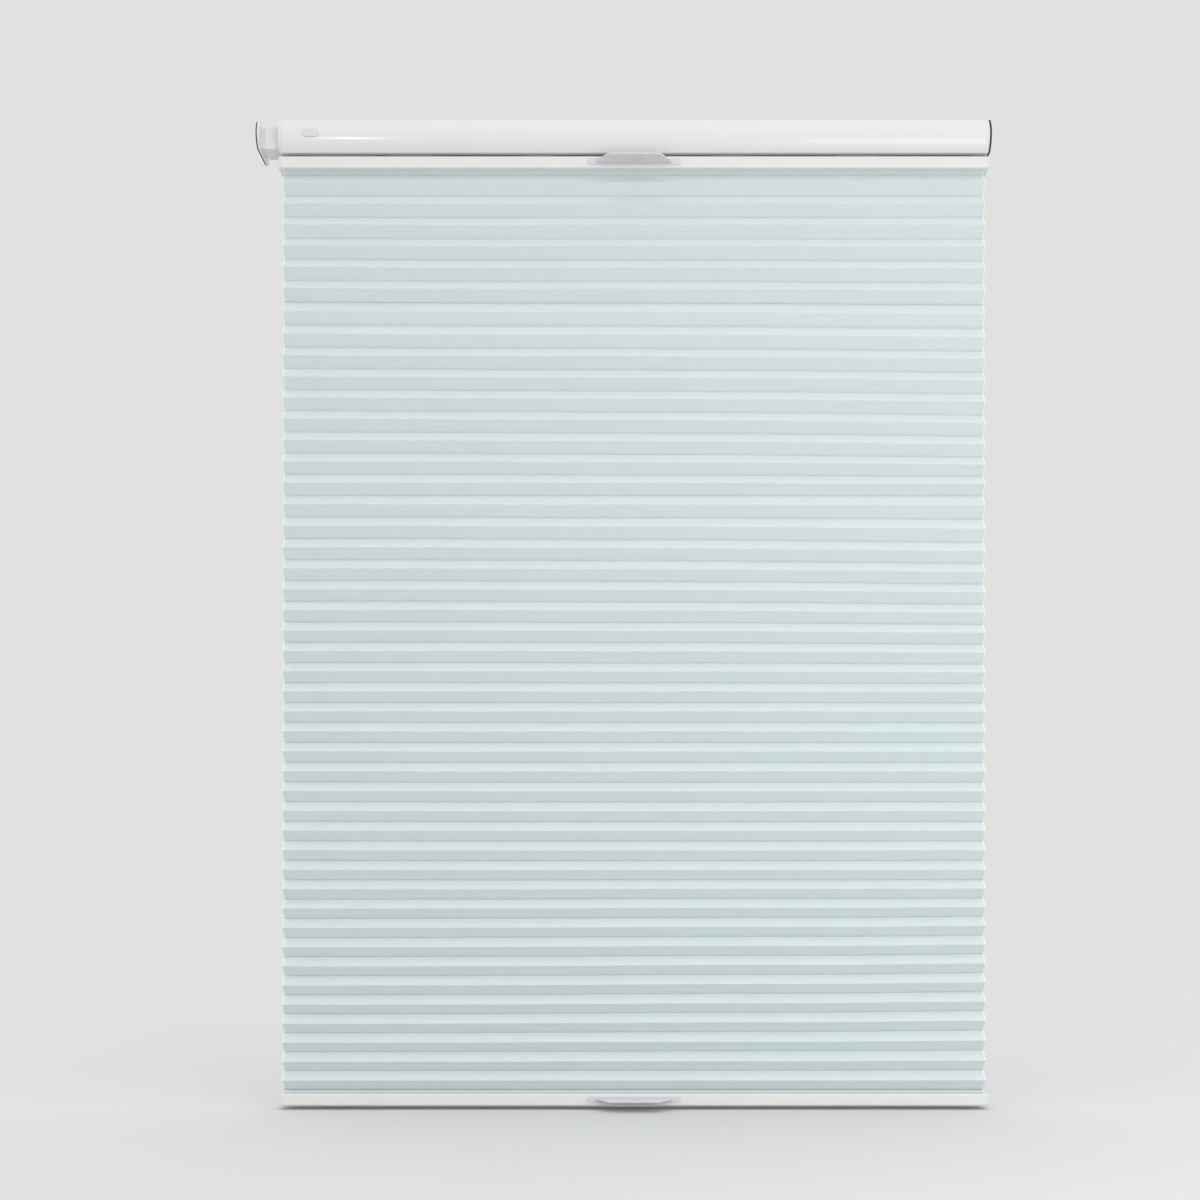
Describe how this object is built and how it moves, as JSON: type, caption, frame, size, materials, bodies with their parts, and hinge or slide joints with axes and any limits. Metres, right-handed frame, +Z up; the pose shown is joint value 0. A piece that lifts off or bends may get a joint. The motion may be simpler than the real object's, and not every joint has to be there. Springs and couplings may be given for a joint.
{
  "type": "pleated blind",
  "caption": "Cordless honeycomb pleated blind with a bowed head rail, a sprung end that wedges it between two walls, and a middle and a bottom rail that slide to open it from either side.",
  "frame": {"origin": "on the head rail's flat top, above the middle of the slim rails", "axes": "+X along the rails, +Y towards the window pane, +Z up"},
  "size_m": [0.7332, 0.061, 0.9862],
  "materials": {
    "white_rail": "gloss",
    "white_moulding": "satin",
    "mechanism_plastic": "satin",
    "grip_rubber": "matte",
    "spring_steel": "satin",
    "rod_steel": "satin",
    "button_plastic": "satin",
    "handle_plastic": "gloss",
    "cell_fabric": "matte",
    "strip_plastic": "satin",
    "cord": "matte"
  },
  "bodies": {
    "root": {"head_rail": "white_rail", "head_cap_left": "white_moulding", "head_cap_right": "white_moulding", "right_pad": "grip_rubber", "tension_housing": "mechanism_plastic", "tension_spring": "spring_steel", "button_spring": "spring_steel", "cradle_left": "mechanism_plastic", "cradle_right": "mechanism_plastic", "motor_frame_middle": "mechanism_plastic", "motor_frame_bottom": "mechanism_plastic", "flat_spring_middle": "spring_steel", "flat_spring_bottom": "spring_steel", "lift_cord_middle_left": "cord", "lift_cord_middle_right": "cord", "lift_cord_bottom_left": "cord", "lift_cord_bottom_right": "cord", "cellular_fabric": "cell_fabric"},
    "middle_rail": {"middle_rail": "white_rail", "middle_cap_left": "white_moulding", "middle_cap_right": "white_moulding", "middle_strip": "strip_plastic", "middle_handle": "handle_plastic", "middle_grommets": "mechanism_plastic", "middle_anchors": "mechanism_plastic"},
    "bottom_rail": {"bottom_rail": "white_rail", "bottom_cap_left": "white_moulding", "bottom_cap_right": "white_moulding", "bottom_strip": "strip_plastic", "bottom_handle": "handle_plastic", "bottom_anchors": "mechanism_plastic"},
    "tension_end": {"tension_block": "white_moulding", "pressure_plate": "white_moulding", "left_pad": "grip_rubber"},
    "release_button": {"release_button": "button_plastic"},
    "middle_lift_shaft": {"lift_rod_middle": "rod_steel", "spool_middle_left": "mechanism_plastic", "spool_middle_right": "mechanism_plastic", "output_drum_middle": "mechanism_plastic"},
    "bottom_lift_shaft": {"lift_rod_bottom": "rod_steel", "spool_bottom_left": "mechanism_plastic", "spool_bottom_right": "mechanism_plastic", "output_drum_bottom": "mechanism_plastic"},
    "middle_storage_drum": {"storage_drum_middle": "mechanism_plastic"},
    "bottom_storage_drum": {"storage_drum_bottom": "mechanism_plastic"}
  },
  "joints": [
    {"name": "middle_rail_slide", "type": "slide", "parent": "root", "child": "middle_rail", "axis": [0, 0, -1], "range_m": [0, 0.28], "deforming": ["cellular_fabric", "lift_cord_middle_left", "lift_cord_middle_right", "flat_spring_middle"]},
    {"name": "bottom_rail_slide", "type": "slide", "parent": "root", "child": "bottom_rail", "axis": [0, 0, 1], "range_m": [0, 0.54], "deforming": ["cellular_fabric", "lift_cord_bottom_left", "lift_cord_bottom_right", "flat_spring_bottom"]},
    {"name": "tension_slide", "type": "slide", "parent": "root", "child": "tension_end", "axis": [1, 0, 0], "range_m": [0, 0.012], "stiffness_N_per_m": 2500, "springref_m": -0.012, "deforming": ["tension_spring"]},
    {"name": "release_press", "type": "slide", "parent": "root", "child": "release_button", "axis": [0, 1, 0], "range_m": [0, 0.002], "stiffness_N_per_m": 600, "springref_m": -0.002, "deforming": ["button_spring"]},
    {"name": "middle_shaft_spin", "type": "hinge", "parent": "root", "child": "middle_lift_shaft", "pos_m": [0, 0.013, -0.017], "axis": [1, 0, 0], "range_deg": [0, 2007]},
    {"name": "middle_storage_spin", "type": "hinge", "parent": "root", "child": "middle_storage_drum", "pos_m": [0, -0.008, -0.017], "axis": [1, 0, 0], "range_deg": [-1794, 0]},
    {"name": "bottom_shaft_spin", "type": "hinge", "parent": "root", "child": "bottom_lift_shaft", "pos_m": [0, -0.008, -0.017], "axis": [1, 0, 0], "range_deg": [0, 3869]},
    {"name": "bottom_storage_spin", "type": "hinge", "parent": "root", "child": "bottom_storage_drum", "pos_m": [0, 0.013, -0.017], "axis": [1, 0, 0], "range_deg": [-3458, 0]}
  ],
  "couplings": [
    {"joint": "middle_shaft_spin", "follows": "middle_rail_slide", "rad_per_m": 125},
    {"joint": "middle_storage_spin", "follows": "middle_rail_slide", "rad_per_m": -111.7},
    {"joint": "bottom_shaft_spin", "follows": "bottom_rail_slide", "rad_per_m": 125},
    {"joint": "bottom_storage_spin", "follows": "bottom_rail_slide", "rad_per_m": -111.7}
  ]
}
